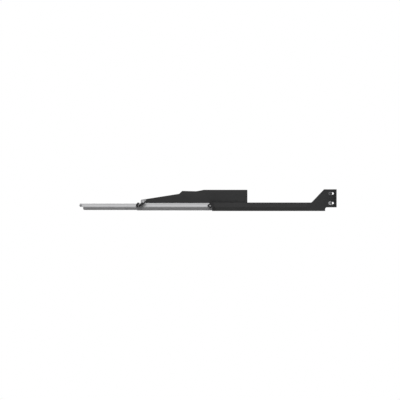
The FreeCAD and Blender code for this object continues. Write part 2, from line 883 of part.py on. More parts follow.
def lacing_bar():
    """Round bar across the tips of the inner rails, drilled at both ends for its screws."""
    bar = pin(bar_x, bar_height, bar_radius, -bar_seat_out, bar_seat_out)
    radius = bar_screw_radius + hole_clearance
    hole = pin(bar_x, bar_height, radius, bar_seat_out - bar_screw_depth, bar_seat_out + overrun)
    return bar.cut(both_sides([hole]))


def bar_screw():
    tip = bar_seat_out - bar_screw_depth + bar_screw_tip_gap
    shank = pin(bar_x, bar_height, bar_screw_radius, tip, bar_boss_out)
    head = pin(bar_x, bar_height, bar_head_radius, bar_boss_out, bar_boss_out + bar_head_height)
    return shank.fuse(head)


def write_node(name, shape):
    shape = shape.copy()
    shape.translate(Vector(0, 0, -origin_height))
    shape.exportStep("parts/" + name + ".step")


def write_pair(name, shape):
    """A right-hand piece and its mirror image, each in a node of its own."""
    write_node(name + "_right", shape)
    write_node(name + "_left", left_copy(shape))


def write_group(name, shapes):
    write_node(name, Part.makeCompound(shapes))


os.makedirs("parts", exist_ok=True)

# Brackets, fixed to the rack
write_pair("bracket_arm", bracket_arm())
write_pair("rack_flange", rack_flange())
write_group("ear_screws", both_sides(ear_screws()))
write_group("ear_nuts", both_sides(ear_nuts()))
write_pair("arm_guide", arm_guide())
write_group("arm_bumpers", both_sides([arm_bumper()]))

# Tray on the middle rails
write_pair("middle_rail", middle_rail())
write_pair("middle_guide", middle_guide())
write_group("slide_blocks", both_sides([slide_block()]))
write_group("block_screws", both_sides([block_screw()]))
write_group("rail_rivets", both_sides(rail_rivets()))
write_pair("tray_wall", tray_wall())
write_group("foot_rivets", both_sides(foot_rivets()))
write_node("tray_floor", tray_floor())
write_node("fibre_spool_right", fibre_spool(spool_centres()[0]))
write_node("fibre_spool_left", fibre_spool(spool_centres()[1]))
write_group("spool_screws", spool_screws())
write_group("fibre_clips", fibre_clips())
write_group("lever_pins", both_sides([lever_pin()]))

# Cam levers
write_pair("cam_lever", cam_lever())

# Extension on the inner rails
write_pair("inner_rail", inner_rail())
write_group("inner_glides", both_sides([inner_glide()]))
write_group("end_plugs", both_sides([end_plug()]))
write_node("lacing_bar", lacing_bar())
write_group("bar_screws", both_sides([bar_screw()]))
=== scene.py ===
import json
import math
from functools import partial

import bmesh
import bpy
from mathutils import Matrix, Vector

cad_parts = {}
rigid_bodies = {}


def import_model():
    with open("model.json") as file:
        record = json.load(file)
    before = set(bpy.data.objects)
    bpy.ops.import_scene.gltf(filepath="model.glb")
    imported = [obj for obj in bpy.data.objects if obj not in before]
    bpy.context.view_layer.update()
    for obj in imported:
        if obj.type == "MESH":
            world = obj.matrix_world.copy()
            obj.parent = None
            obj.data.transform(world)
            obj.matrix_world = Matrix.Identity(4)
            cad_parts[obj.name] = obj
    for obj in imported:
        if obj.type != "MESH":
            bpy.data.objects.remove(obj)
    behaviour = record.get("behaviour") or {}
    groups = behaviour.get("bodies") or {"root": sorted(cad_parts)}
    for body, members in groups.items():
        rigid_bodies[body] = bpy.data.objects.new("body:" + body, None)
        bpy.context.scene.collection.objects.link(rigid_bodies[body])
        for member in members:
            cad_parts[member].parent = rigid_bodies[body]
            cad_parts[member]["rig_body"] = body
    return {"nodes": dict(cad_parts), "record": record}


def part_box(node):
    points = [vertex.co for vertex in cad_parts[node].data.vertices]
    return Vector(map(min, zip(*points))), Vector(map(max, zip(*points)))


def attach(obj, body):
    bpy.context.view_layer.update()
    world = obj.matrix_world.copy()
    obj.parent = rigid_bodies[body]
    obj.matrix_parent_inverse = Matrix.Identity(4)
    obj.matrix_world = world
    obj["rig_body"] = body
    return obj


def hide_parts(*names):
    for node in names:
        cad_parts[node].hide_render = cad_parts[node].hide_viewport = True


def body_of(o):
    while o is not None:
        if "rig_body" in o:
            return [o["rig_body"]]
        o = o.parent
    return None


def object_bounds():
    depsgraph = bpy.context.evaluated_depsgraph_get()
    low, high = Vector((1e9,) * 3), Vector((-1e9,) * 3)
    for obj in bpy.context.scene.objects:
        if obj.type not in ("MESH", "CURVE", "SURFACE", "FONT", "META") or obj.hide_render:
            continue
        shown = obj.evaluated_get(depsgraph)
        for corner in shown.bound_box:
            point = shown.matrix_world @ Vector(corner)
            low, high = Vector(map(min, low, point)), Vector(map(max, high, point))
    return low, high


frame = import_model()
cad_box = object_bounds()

# Fibre slack tray in side view: black powder-coated brackets and tray, zinc-plated telescoping rails.
# Metres throughout, in the frame of the solids: +X towards the rack, +Z up, the near side on -Y.

MILLIMETRE = 0.001

# Photograph: where the middle of the picture lies on the object, and how much the picture spans
PICTURE_SPAN = 0.8
PICTURE_CENTRE_X = -0.2733
PICTURE_CENTRE_ABOVE_ARM = 0.022
CAMERA_DISTANCE = 2.0
CAMERA_REACH = 100.0

# Light, with elevations in degrees and power in watts, and the sides of the object along Y
NEAR_SIDE = -1
FAR_SIDE = 1
SOFTBOX_DISTANCE = 4.0
SOFTBOX_SIZE = 2.6
KEY_ELEVATION = 64.0
KEY_POWER = 165.0
BACK_ELEVATION = 52.0
BACK_POWER = 38.0
FILL_STRENGTH = 0.06

# Floor: its own colour and glow as it is seen, and the darker colour that it throws back as light
FLOOR_SIDE = 8.0
FLOOR_GAP = 0.4 * MILLIMETRE
FLOOR_COLOUR = (0.6, 0.6, 0.6, 1)
FLOOR_ROUGHNESS = 0.9
FLOOR_GLOW = 0.51
FLOOR_BOUNCE = (0.10, 0.10, 0.10, 1)
WHITE = (1, 1, 1, 1)

# Range in which most of a noise pattern lies
PATTERN_LOW = 0.3
PATTERN_HIGH = 0.7

# Black powder coat
COAT_PIT = (0.002, 0.002, 0.0022)
COAT_PEAK = (0.024, 0.024, 0.0245)
COAT_FADED = (0.014, 0.014, 0.0145)
COAT_RUBBED = (0.05, 0.05, 0.052)
COAT_EDGE_WIDTH = 0.45 * MILLIMETRE
COAT_DEPTH = 0.03 * MILLIMETRE

# Zinc plate on the rails and the bar
PLATE_DARK = (0.62, 0.62, 0.63)
PLATE_LIGHT = (0.80, 0.80, 0.81)
PLATE_DULL = (0.52, 0.52, 0.54)
# Tone of the bright track, partly rubbed and partly a painted highlight
PLATE_WEAR_AND_HIGHLIGHT = (0.93, 0.93, 0.94)
PLATE_DEPTH = 0.01 * MILLIMETRE
ALONG_RAILS = (1, 0, 0)
ALONG_BAR = (0, 1, 0)

# Bright tracks along the rails, partly rubbed by the guides and partly a painted highlight: height above the
# arms' bottom, half width, and the share of it that is fully bright
WORN_HIGHLIGHT_ABOVE_ARM = 11.0 * MILLIMETRE
WORN_HIGHLIGHT_REACH = 1.3 * MILLIMETRE
WORN_HIGHLIGHT_CORE = 0.4

# Zinc plate on small hardware, and on the ear screws, whose upper ones are darker
HARDWARE_DARK = (0.30, 0.30, 0.31)
HARDWARE_LIGHT = (0.46, 0.46, 0.47)
# Colour of the shade painted into the hardware's recesses, and how far those recesses reach
HARDWARE_RECESS_SHADE = (0.03, 0.03, 0.03)
HARDWARE_RECESS = 1.6 * MILLIMETRE
HARDWARE_DEPTH = 0.01 * MILLIMETRE
EAR_SCREW_DARK = (0.33, 0.33, 0.34)
EAR_SCREW_LIGHT = (0.48, 0.48, 0.49)
# Tone of the upper ear screws, which are darker
EAR_SCREW_UPPER_TONE = (0.03, 0.03, 0.032)
# How far the shade painted into the ear screws' sockets reaches
EAR_SCREW_RECESS = 3.0 * MILLIMETRE

# Moulded nylon, and the rubber of the bumpers
BLACK_NYLON_DARK = (0.003, 0.003, 0.0032)
BLACK_NYLON_LIGHT = (0.014, 0.014, 0.0145)
SATIN_NYLON_DARK = (0.008, 0.008, 0.0085)
SATIN_NYLON_LIGHT = (0.028, 0.028, 0.029)
GREY_NYLON_DARK = (0.42, 0.42, 0.43)
GREY_NYLON_LIGHT = (0.52, 0.52, 0.53)
NYLON_EDGE_WIDTH = 0.6 * MILLIMETRE
NYLON_DEPTH = 0.02 * MILLIMETRE
RUBBER_DARK = (0.012, 0.012, 0.012)
RUBBER_LIGHT = (0.022, 0.022, 0.021)
RUBBER_DEPTH = 0.03 * MILLIMETRE

# Softened edges of sheet, mouldings and hardware
SHEET_EDGE = 0.12 * MILLIMETRE
MOULDED_EDGE = 0.25 * MILLIMETRE
HARDWARE_EDGE = 0.15 * MILLIMETRE
EDGE_ANGLE = math.radians(38)
WELD_DISTANCE = 0.001 * MILLIMETRE

# Blind rivets
RIVET_HEAD_RISE = 0.8 * MILLIMETRE
RIVET_SHANK_RADIUS = 1.6 * MILLIMETRE
RIVET_HOLE_RADIUS = 0.6 * MILLIMETRE
RIVET_HOLE_DEPTH = 0.5 * MILLIMETRE

# Pan-head screws of the spools and slide blocks, and the smaller ones of the lacing bar
PAN_HEAD = 2.0 * MILLIMETRE
PAN_SHANK_RADIUS = 1.5 * MILLIMETRE
BAR_SCREW_HEAD = 1.2 * MILLIMETRE
BAR_SCREW_SHANK_RADIUS = 1.2 * MILLIMETRE

# Cross recess, crown and tip of a pan-head screw, as shares of its head and shank. Pins have the same crown.
RECESS_REACH = 0.52
RECESS_HALF_WIDTH = 0.15
RECESS_TAPER = 0.7
RECESS_DEPTH = 0.6
CROWN_RISE = 0.5
THREAD_POINT = 0.7

# Button-head screws with a hexagon socket in the ears
EAR_HEAD = 2.2 * MILLIMETRE
EAR_HEAD_EDGE = 0.5 * MILLIMETRE
EAR_SHANK_RADIUS = 2.0 * MILLIMETRE
SOCKET_FLATS = 3.0 * MILLIMETRE
SOCKET_DEPTH = 1.4 * MILLIMETRE
THREAD_PITCH = 0.7 * MILLIMETRE
THREAD_DEPTH = 0.35 * MILLIMETRE
THREAD_TURNS = 7

# Hexagon nuts behind the ears
NUT_BORE_RADIUS = 2.1 * MILLIMETRE
NUT_BORE_CHAMFER = 0.35 * MILLIMETRE
NUT_BLANK_SHARE = 1.04
NUT_FACE_SHARE = 0.95
NUT_CHAMFER = math.radians(30)

# Pivot pins of the cam levers
PIN_HEAD = 1.0 * MILLIMETRE
PIN_SHANK_RADIUS = 1.5 * MILLIMETRE
PIN_CENTRE_RADIUS = 0.5 * MILLIMETRE
PIN_CENTRE_DEPTH = 0.3 * MILLIMETRE
PIN_CHAMFER = 0.3 * MILLIMETRE

# Angles of crosses and hexagons, and the fineness and sharp edges of turned shapes
QUARTER_TURN = math.pi / 2
HEXAGON_SIDES = 6
HEXAGON_SIDE = 2 * math.pi / HEXAGON_SIDES
SHARP_ANGLE = math.radians(25)
TURN_STEPS = 48
DOME_STEPS = 6


# Shader building blocks

def start_finish(name):
    """New material and its surface shader."""
    material = bpy.data.materials.new(name)
    material.use_nodes = True
    tree = material.node_tree
    return material, tree, tree.nodes["Principled BSDF"]


def place_pattern(tree, stretch=(1, 1, 1)):
    """Object coordinates, stretched along the axes."""
    coordinates = tree.nodes.new("ShaderNodeTexCoord")
    mapping = tree.nodes.new("ShaderNodeMapping")
    mapping.inputs["Scale"].default_value = stretch
    tree.links.new(coordinates.outputs["Object"], mapping.inputs["Vector"])
    return mapping.outputs["Vector"]


def stretched(way, share):
    """Scale that draws a pattern out along one axis."""
    return [share if along else 1.0 for along in way]


def grain(tree, place, scale, detail=3.0, roughness=0.55):
    """Noise of a given scale, from 0 to 1."""
    noise = tree.nodes.new("ShaderNodeTexNoise")
    noise.inputs["Scale"].default_value = scale
    noise.inputs["Detail"].default_value = detail
    noise.inputs["Roughness"].default_value = roughness
    tree.links.new(place, noise.inputs["Vector"])
    return noise.outputs["Fac"]


def spread(tree, value, low, high, start=PATTERN_LOW, end=PATTERN_HIGH):
    """Maps a pattern, from its start to its end, to the values from low to high."""
    node = tree.nodes.new("ShaderNodeMapRange")
    node.inputs["From Min"].default_value = start
    node.inputs["From Max"].default_value = end
    node.inputs["To Min"].default_value = low
    node.inputs["To Max"].default_value = high
    tree.links.new(value, node.inputs["Value"])
    return node.outputs["Result"]


def tint(tree, value, dark, light):
    """Colour between a dark and a light tone, by a pattern."""
    ramp = tree.nodes.new("ShaderNodeValToRGB")
    ramp.color_ramp.elements[0].position = PATTERN_LOW
    ramp.color_ramp.elements[0].color = (*dark, 1)
    ramp.color_ramp.elements[1].position = PATTERN_HIGH
    ramp.color_ramp.elements[1].color = (*light, 1)
    tree.links.new(value, ramp.inputs["Fac"])
    return ramp.outputs["Color"]


def together(tree, first, second):
    """Two patterns multiplied."""
    node = tree.nodes.new("ShaderNodeMath")
    node.operation = "MULTIPLY"
    node.use_clamp = True
    tree.links.new(first, node.inputs[0])
    tree.links.new(second, node.inputs[1])
    return node.outputs["Value"]


def over(tree, amount, under, colour):
    """A colour laid over another one where a pattern is high."""
    mix = tree.nodes.new("ShaderNodeMix")
    mix.data_type = "RGBA"
    tree.links.new(amount, mix.inputs["Factor"])
    tree.links.new(under, mix.inputs["A"])
    mix.inputs["B"].default_value = (*colour, 1)
    return mix.outputs["Result"]


def worn_edges(tree, patches, width, most):
    """High along sharp edges, in patches, and 0 on open faces."""
    rounded = tree.nodes.new("ShaderNodeBevel")
    rounded.inputs["Radius"].default_value = width
    geometry = tree.nodes.new("ShaderNodeNewGeometry")
    turn = tree.nodes.new("ShaderNodeVectorMath")
    turn.operation = "DOT_PRODUCT"
    tree.links.new(rounded.outputs["Normal"], turn.inputs[0])
    tree.links.new(geometry.outputs["Normal"], turn.inputs[1])
    edge = spread(tree, turn.outputs["Value"], low=most, high=0.0, start=0.78, end=0.97)
    return together(tree, edge, spread(tree, patches, low=0.0, high=1.0, start=0.35, end=0.65))


def shade_in_recesses(tree, reach):
    """Painted shade: 1 deep in recesses and corners, and 0 on open faces."""
    shelter = tree.nodes.new("ShaderNodeAmbientOcclusion")
    shelter.inputs["Distance"].default_value = reach
    shelter.only_local = True
    return spread(tree, shelter.outputs["AO"], low=1.0, high=0.0, start=0.45, end=0.92)


def heights(tree):
    """Height of each point in metres."""
    coordinates = tree.nodes.new("ShaderNodeTexCoord")
    parts = tree.nodes.new("ShaderNodeSeparateXYZ")
    tree.links.new(coordinates.outputs["Object"], parts.inputs["Vector"])
    return parts.outputs["Z"]


def above(tree, height, most):
    """A given value above a height in metres, and 0 below it."""
    return spread(tree, heights(tree), 0.0, most, height - WELD_DISTANCE, height + WELD_DISTANCE)


def along_worn_highlight(tree, height, most):
    """A given value along a track at a height, partly rubbed and partly a painted highlight, and 0 beyond
    its edges.
    """
    core = WORN_HIGHLIGHT_CORE * WORN_HIGHLIGHT_REACH
    rise = spread(tree, heights(tree), 0.0, 1.0, height - WORN_HIGHLIGHT_REACH, height - core)
    fall = spread(tree, heights(tree), most, 0.0, height + core, height + WORN_HIGHLIGHT_REACH)
    return together(tree, rise, fall)


def relief(tree, height, shader, depth, strength):
    """Fine relief from a pattern, of a depth in metres."""
    bump = tree.nodes.new("ShaderNodeBump")
    bump.inputs["Strength"].default_value = strength
    bump.inputs["Distance"].default_value = depth
    tree.links.new(height, bump.inputs["Height"])
    tree.links.new(bump.outputs["Normal"], shader.inputs["Normal"])


# Finishes

def powder_coat():
    """Black powder coat with a fine orange-peel texture, rubbed a little along its edges."""
    material, tree, shader = start_finish("black_powder_coat")
    place = place_pattern(tree)
    cloud = grain(tree, place, scale=45.0)
    rubbed = worn_edges(tree, grain(tree, place, scale=70.0, detail=4.0), COAT_EDGE_WIDTH, most=0.5)
    peel = grain(tree, place, scale=1900.0, detail=2.0)
    coat = tint(tree, peel, COAT_PIT, COAT_PEAK)
    coat = over(tree, spread(tree, cloud, low=0.0, high=0.3), coat, COAT_FADED)
    tree.links.new(over(tree, rubbed, coat, COAT_RUBBED), shader.inputs["Base Color"])
    upright = place_pattern(tree, stretch=(1.0, 1.0, 2.5))
    handled = grain(tree, upright, scale=22.0, detail=5.0, roughness=0.62)
    tree.links.new(spread(tree, handled, low=0.44, high=0.60), shader.inputs["Roughness"])
    shader.inputs["Specular IOR Level"].default_value = 0.46
    relief(tree, peel, shader, COAT_DEPTH, strength=0.6)
    return material


def drawn_zinc(name, way, highlight_height=None):
    """Zinc-plated steel with streaks one way from drawing, faint clouds, and, where asked, a bright track
    that is partly rubbed and partly a painted highlight.
    """
    material, tree, shader = start_finish(name)
    streak = grain(tree, place_pattern(tree, stretched(way, share=0.02)), scale=1500.0, detail=4.0)
    cloud = grain(tree, place_pattern(tree), scale=60.0, detail=4.0)
    plate = tint(tree, streak, PLATE_DARK, PLATE_LIGHT)
    dulled = spread(tree, cloud, low=0.0, high=0.22, start=0.45, end=0.75)
    plate = over(tree, dulled, plate, PLATE_DULL)
    # Painted highlight, partly also rubbing by the guides: a brighter band along the rail at one height
    if highlight_height is not None:
        streaky = spread(tree, streak, low=0.6, high=1.0)
        rubbed = together(tree, along_worn_highlight(tree, highlight_height, most=0.85), streaky)
        plate = over(tree, rubbed, plate, PLATE_WEAR_AND_HIGHLIGHT)
    tree.links.new(plate, shader.inputs["Base Color"])
    scratch = grain(tree, place_pattern(tree, stretched(way, share=0.012)), scale=3600.0, detail=2.0)
    tree.links.new(spread(tree, scratch, low=0.30, high=0.50), shader.inputs["Roughness"])
    shader.inputs["Metallic"].default_value = 0.06
    shader.inputs["Specular IOR Level"].default_value = 0.3
    relief(tree, streak, shader, PLATE_DEPTH, strength=0.5)
    return material


def bright_zinc(name, dark, light, recess=HARDWARE_RECESS, darker_from=None):
    """Zinc plate of small hardware, with shade painted into its recesses and, where asked, darker from a
    height up.
    """
    material, tree, shader = start_finish(name)
    cloud = grain(tree, place_pattern(tree), scale=420.0)
    plate = tint(tree, cloud, dark, light)
    # Darker from a given height up
    if darker_from is not None:
        plate = over(tree, above(tree, darker_from, most=0.75), plate, EAR_SCREW_UPPER_TONE)
    # Painted shade: the plate is darkened in its recesses and corners, where shade falls
    recess_shade = shade_in_recesses(tree, recess)
    tree.links.new(over(tree, recess_shade, plate, HARDWARE_RECESS_SHADE), shader.inputs["Base Color"])
    tree.links.new(spread(tree, cloud, low=0.20, high=0.34), shader.inputs["Roughness"])
    shader.inputs["Metallic"].default_value = 1.0
    relief(tree, cloud, shader, HARDWARE_DEPTH, strength=0.4)
    return material


def moulded_nylon(name, dark, light):
    """Moulded nylon with a faint spark-eroded grain, polished along its edges by use."""
    material, tree, shader = start_finish(name)
    place = place_pattern(tree)
    cloud = grain(tree, place, scale=150.0)
    eroded = grain(tree, place, scale=2600.0, detail=2.0)
    body = over(tree, spread(tree, cloud, low=0.0, high=0.3), tint(tree, eroded, dark, light), light)
    tree.links.new(body, shader.inputs["Base Color"])
    polished = worn_edges(tree, cloud, NYLON_EDGE_WIDTH, most=1.0)
    smoother = spread(tree, polished, low=1.0, high=0.6, start=0.0, end=1.0)
    dull = spread(tree, cloud, low=0.46, high=0.60)
    tree.links.new(together(tree, dull, smoother), shader.inputs["Roughness"])
    shader.inputs["Specular IOR Level"].default_value = 0.35
    relief(tree, eroded, shader, NYLON_DEPTH, strength=0.5)
    return material


def bumper_rubber():
    """Dull black rubber."""
    material, tree, shader = start_finish("bumper_rubber")
    cloud = grain(tree, place_pattern(tree), scale=300.0)
    tree.links.new(tint(tree, cloud, RUBBER_DARK, RUBBER_LIGHT), shader.inputs["Base Color"])
    tree.links.new(spread(tree, cloud, low=0.72, high=0.88), shader.inputs["Roughness"])
    relief(tree, cloud, shader, RUBBER_DEPTH, strength=0.5)
    return material


FINISHES = {
    "black_steel": powder_coat(),
    "zinc_rail": drawn_zinc("rolled_zinc", ALONG_RAILS, cad_box[0][2] + WORN_HIGHLIGHT_ABOVE_ARM),
    "zinc_hardware": bright_zinc("bright_zinc", HARDWARE_DARK, HARDWARE_LIGHT),
    "black_plastic": moulded_nylon("black_nylon", BLACK_NYLON_DARK, BLACK_NYLON_LIGHT),
    "grey_plastic": moulded_nylon("grey_nylon", GREY_NYLON_DARK, GREY_NYLON_LIGHT),
    "rubber": bumper_rubber(),
}

# Nodes whose finish differs a little from the rest of their slot
SATIN_NYLON = moulded_nylon("satin_black_nylon", SATIN_NYLON_DARK, SATIN_NYLON_LIGHT)
EAR_SCREWS_LOW, EAR_SCREWS_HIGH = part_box("ear_screws")
BETWEEN_EAR_SCREWS = (EAR_SCREWS_LOW[2] + EAR_SCREWS_HIGH[2]) / 2
NODE_FINISHES = {
    "lacing_bar": drawn_zinc("drawn_zinc_bar", ALONG_BAR),
    "ear_screws": bright_zinc(
        "ear_screw_zinc", EAR_SCREW_DARK, EAR_SCREW_LIGHT, EAR_SCREW_RECESS, BETWEEN_EAR_SCREWS,
    ),
    "fibre_spool_right": SATIN_NYLON,
    "fibre_spool_left": SATIN_NYLON,
    "fibre_clips": SATIN_NYLON,
}


# Solids carried over from the frame

def soften_edges(piece, width):
    """Joins the solid's facets and rounds its sharp edges a little."""
    weld = piece.modifiers.new("join_facets", "WELD")
    weld.merge_threshold = WELD_DISTANCE
    edge = piece.modifiers.new("softened_edges", "BEVEL")
    edge.width = width
    edge.segments = 2
    edge.limit_method = "ANGLE"
    edge.angle_limit = EDGE_ANGLE
    edge.use_clamp_overlap = True
    edge.harden_normals = False


def dress_solids():
    """Gives every solid the finish of its slot or its own, and softened edges."""
    edge_widths = {
        "black_steel": SHEET_EDGE,
        "zinc_rail": SHEET_EDGE,
        "zinc_hardware": HARDWARE_EDGE,
        "black_plastic": MOULDED_EDGE,
        "grey_plastic": MOULDED_EDGE,
        "rubber": MOULDED_EDGE,
    }
    for entry in frame["record"]["subparts"]:
        piece = frame["nodes"][entry["node"]]
        slot = entry["material_slot"]
        piece.data.materials.clear()
        piece.data.materials.append(NODE_FINISHES.get(entry["node"], FINISHES[slot]))
        soften_edges(piece, edge_widths[slot])


# Fasteners, turned and set where the solids have them

def solid_boxes(node):
    """Lowest and highest corner of every separate solid in a node."""
    shape = bmesh.new()
    shape.from_mesh(frame["nodes"][node].data)
    bmesh.ops.remove_doubles(shape, verts=shape.verts, dist=WELD_DISTANCE)
    waiting = set(shape.verts)
    boxes = []
    while waiting:
        solid = [waiting.pop()]
        for vert in solid:
            for edge in vert.link_edges:
                neighbour = edge.other_vert(vert)
                if neighbour in waiting:
                    waiting.remove(neighbour)
                    solid.append(neighbour)
        low = [min(vert.co[axis] for vert in solid) for axis in range(3)]
        high = [max(vert.co[axis] for vert in solid) for axis in range(3)]
        boxes.append((low, high))
    shape.free()
    return [(Vector(low), Vector(high)) for low, high in sorted(boxes)]


def turned(profile):
    """Solid turned about +Z from (radius, height) points, which end on the axis or where they start."""
    shape = bmesh.new()
    verts = [shape.verts.new((radius, 0, height)) for radius, height in profile]
    edges = [shape.edges.new(pair) for pair in zip(verts, verts[1:])]
    bmesh.ops.spin(
        shape, geom=verts + edges, cent=(0, 0, 0), axis=(0, 0, 1),
        angle=2 * math.pi, steps=TURN_STEPS, use_merge=True,
    )
    bmesh.ops.remove_doubles(shape, verts=shape.verts, dist=WELD_DISTANCE)
    bmesh.ops.recalc_face_normals(shape, faces=shape.faces)
    return shape


def dome(radius, rise, start_radius=0.0):
    """(radius, height) points of a dome, from a place near its middle out to its rim."""
    first = math.asin(start_radius / radius)
    points = []
    for step in range(DOME_STEPS + 1):
        angle = first + (QUARTER_TURN - first) * step / DOME_STEPS
        points.append((radius * math.sin(angle), rise * math.cos(angle)))
    return points


def blind_rivet(radius, length):
    """Rivet with two domed heads, and the hole that its mandrel leaves in the outer one."""
    floor = length - RIVET_HOLE_DEPTH
    seat = length - RIVET_HEAD_RISE
    profile = [(0, floor), (RIVET_HOLE_RADIUS, floor)]
    profile += [(out, seat + up) for out, up in dome(radius, RIVET_HEAD_RISE, RIVET_HOLE_RADIUS)]
    profile += [(RIVET_SHANK_RADIUS, seat), (RIVET_SHANK_RADIUS, RIVET_HEAD_RISE)]
    profile += [(out, RIVET_HEAD_RISE - up) for out, up in reversed(dome(radius, RIVET_HEAD_RISE))]
    return turned(profile)


def cross_outline(angle):
    """How far a cross-shaped recess reaches at an angle, as a share of its arms' reach."""
    fold = (angle + QUARTER_TURN / 2) % QUARTER_TURN - QUARTER_TURN / 2
    half_width = RECESS_HALF_WIDTH / RECESS_REACH
    if abs(math.tan(fold)) < half_width:
        return 1 / math.cos(fold)
    return half_width / abs(math.sin(fold))


def hexagon_outline(angle):
    """How far a hexagon reaches at an angle, as a share of its corners' reach."""
    fold = angle % HEXAGON_SIDE - HEXAGON_SIDE / 2
    return math.cos(HEXAGON_SIDE / 2) / math.cos(fold)


def reshape_rings(shape, levels, outline):
    """Gives the rings of a turned shape at some levels another outline."""
    for vert in shape.verts:
        from_axis = math.hypot(vert.co.x, vert.co.y)
        at_ring = min(abs(vert.co.z - level) for level in levels) < WELD_DISTANCE
        if at_ring and from_axis > WELD_DISTANCE:
            share = outline(math.atan2(vert.co.y, vert.co.x))
            vert.co.x *= share
            vert.co.y *= share


def pan_screw(radius, length, head, shank):
    """Pan-head screw, with its tip at the start and a cross recess in its crown."""
    crown = CROWN_RISE * head
    shoulder = length - crown
    reach = RECESS_REACH * radius
    floor = length - RECESS_DEPTH * head
    rim = dome(radius, crown, reach)
    profile = [(0, floor), (RECESS_TAPER * reach, floor)]
    profile += [(out, shoulder + up) for out, up in rim]
    profile += [(radius, length - head), (shank, length - head), (shank, shank)]
    profile += [(THREAD_POINT * shank, 0), (0, 0)]
    shape = turned(profile)
    reshape_rings(shape, (floor, shoulder + rim[0][1]), cross_outline)
    return shape


def socket_screw(radius, length):
    """Button-head screw with a hexagon socket, and its threaded tip at the start."""
    crown = EAR_HEAD - EAR_HEAD_EDGE
    shoulder = length - crown
    floor = length - SOCKET_DEPTH
    corner = SOCKET_FLATS / 2 / math.cos(HEXAGON_SIDE / 2)
    core = EAR_SHANK_RADIUS - THREAD_DEPTH
    rim = dome(radius, crown, corner)
    profile = [(0, floor), (corner, floor)]
    profile += [(out, shoulder + up) for out, up in rim]
    profile += [(radius, length - EAR_HEAD), (EAR_SHANK_RADIUS, length - EAR_HEAD)]
    for turn in reversed(range(THREAD_TURNS)):
        profile.append((EAR_SHANK_RADIUS, (turn + 0.5) * THREAD_PITCH))
        profile.append((core, turn * THREAD_PITCH))
    profile.append((0, 0))
    shape = turned(profile)
    reshape_rings(shape, (floor, shoulder + rim[0][1]), hexagon_outline)
    return shape


def headed_pin(radius, length):
    """Turned pin with a crowned head and the small centre mark that turning leaves."""
    crown = CROWN_RISE * PIN_HEAD
    shoulder = length - crown
    rim = dome(radius, crown, PIN_CENTRE_RADIUS)
    profile = [(0, shoulder + rim[0][1] - PIN_CENTRE_DEPTH)]
    profile += [(out, shoulder + up) for out, up in rim]
    profile += [(radius, length - PIN_HEAD), (PIN_SHANK_RADIUS, length - PIN_HEAD)]
    profile += [(PIN_SHANK_RADIUS, PIN_CHAMFER), (PIN_SHANK_RADIUS - PIN_CHAMFER, 0), (0, 0)]
    return turned(profile)


def hex_nut(corner, height):
    """Hexagon nut, turned with chamfers on both faces and then cut to its flats."""
    blank = NUT_BLANK_SHARE * corner
    flat = corner * math.cos(HEXAGON_SIDE / 2)
    face = NUT_FACE_SHARE * flat
    fall = (blank - face) * math.tan(NUT_CHAMFER)
    mouth = NUT_BORE_RADIUS + NUT_BORE_CHAMFER
    lower = [(NUT_BORE_RADIUS, NUT_BORE_CHAMFER), (mouth, 0), (face, 0), (blank, fall)]
    upper = [(radius, height - rise) for radius, rise in reversed(lower)]
    shape = turned(lower + upper + lower[:1])
    for step in range(HEXAGON_SIDES):
        angle = (step + 0.5) * HEXAGON_SIDE
        side = Vector((math.cos(angle), math.sin(angle), 0))
        geometry = shape.verts[:] + shape.edges[:] + shape.faces[:]
        cut = bmesh.ops.bisect_plane(
            shape, geom=geometry, plane_co=side * flat, plane_no=side, clear_outer=True,
        )
        rim = [part for part in cut["geom_cut"] if isinstance(part, bmesh.types.BMEdge)]
        bmesh.ops.edgeloop_fill(shape, edges=rim)
    bmesh.ops.remove_doubles(shape, verts=shape.verts, dist=WELD_DISTANCE)
    bmesh.ops.recalc_face_normals(shape, faces=shape.faces)
    return shape


def set_along(shape, base, way):
    """Stands a turned shape on its base, pointing a given way."""
    turn = Vector((0, 0, 1)).rotation_difference(way).to_matrix().to_4x4()
    bmesh.ops.transform(shape, matrix=Matrix.Translation(base) @ turn, verts=shape.verts)


def fastener_places(node, upright):
    """Base, way, head radius and length of every fastener in a node, upwards or out to its side."""
    places = []
    for low, high in solid_boxes(node):
        middle = (low + high) / 2
        radius = (high.x - low.x) / 2
        if upright:
            base = Vector((middle.x, middle.y, low.z))
            places.append((base, Vector((0, 0, 1)), radius, high.z - low.z))
        else:
            outward = math.copysign(1, middle.y)
            start = low.y if outward > 0 else high.y
            base = Vector((middle.x, start, middle.z))
            places.append((base, Vector((0, outward, 0)), radius, high.y - low.y))
    return places


def stand_for(node, shapes):
    """One piece from several shapes, in place of a node and on its body."""
    mesh = bpy.data.meshes.new("detailed_" + node)
    group = bmesh.new()
    for shape in shapes:
        shape.to_mesh(mesh)
        group.from_mesh(mesh)
        shape.free()
    for face in group.faces:
        face.smooth = True
    group.to_mesh(mesh)
    group.free()
    mesh.set_sharp_from_angle(angle=SHARP_ANGLE)
    mesh.materials.append(NODE_FINISHES.get(node, FINISHES["zinc_hardware"]))
    piece = bpy.data.objects.new("detailed_" + node, mesh)
    bpy.context.scene.collection.objects.link(piece)
    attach(piece, body_of(frame["nodes"][node])[0])
    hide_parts(node)


def detail_fasteners(node, make, upright=False, heads_outward=True):
    """Puts a shape, made from its head radius and length, in place of every fastener in a node."""
    shapes = []
    for base, way, radius, length in fastener_places(node, upright):
        shape = make(radius, length)
        if not heads_outward:
            base = base + way * length
            way = -way
        set_along(shape, base, way)
        shapes.append(shape)
    stand_for(node, shapes)


pan_head_screw = partial(pan_screw, head=PAN_HEAD, shank=PAN_SHANK_RADIUS)
bar_screw = partial(pan_screw, head=BAR_SCREW_HEAD, shank=BAR_SCREW_SHANK_RADIUS)

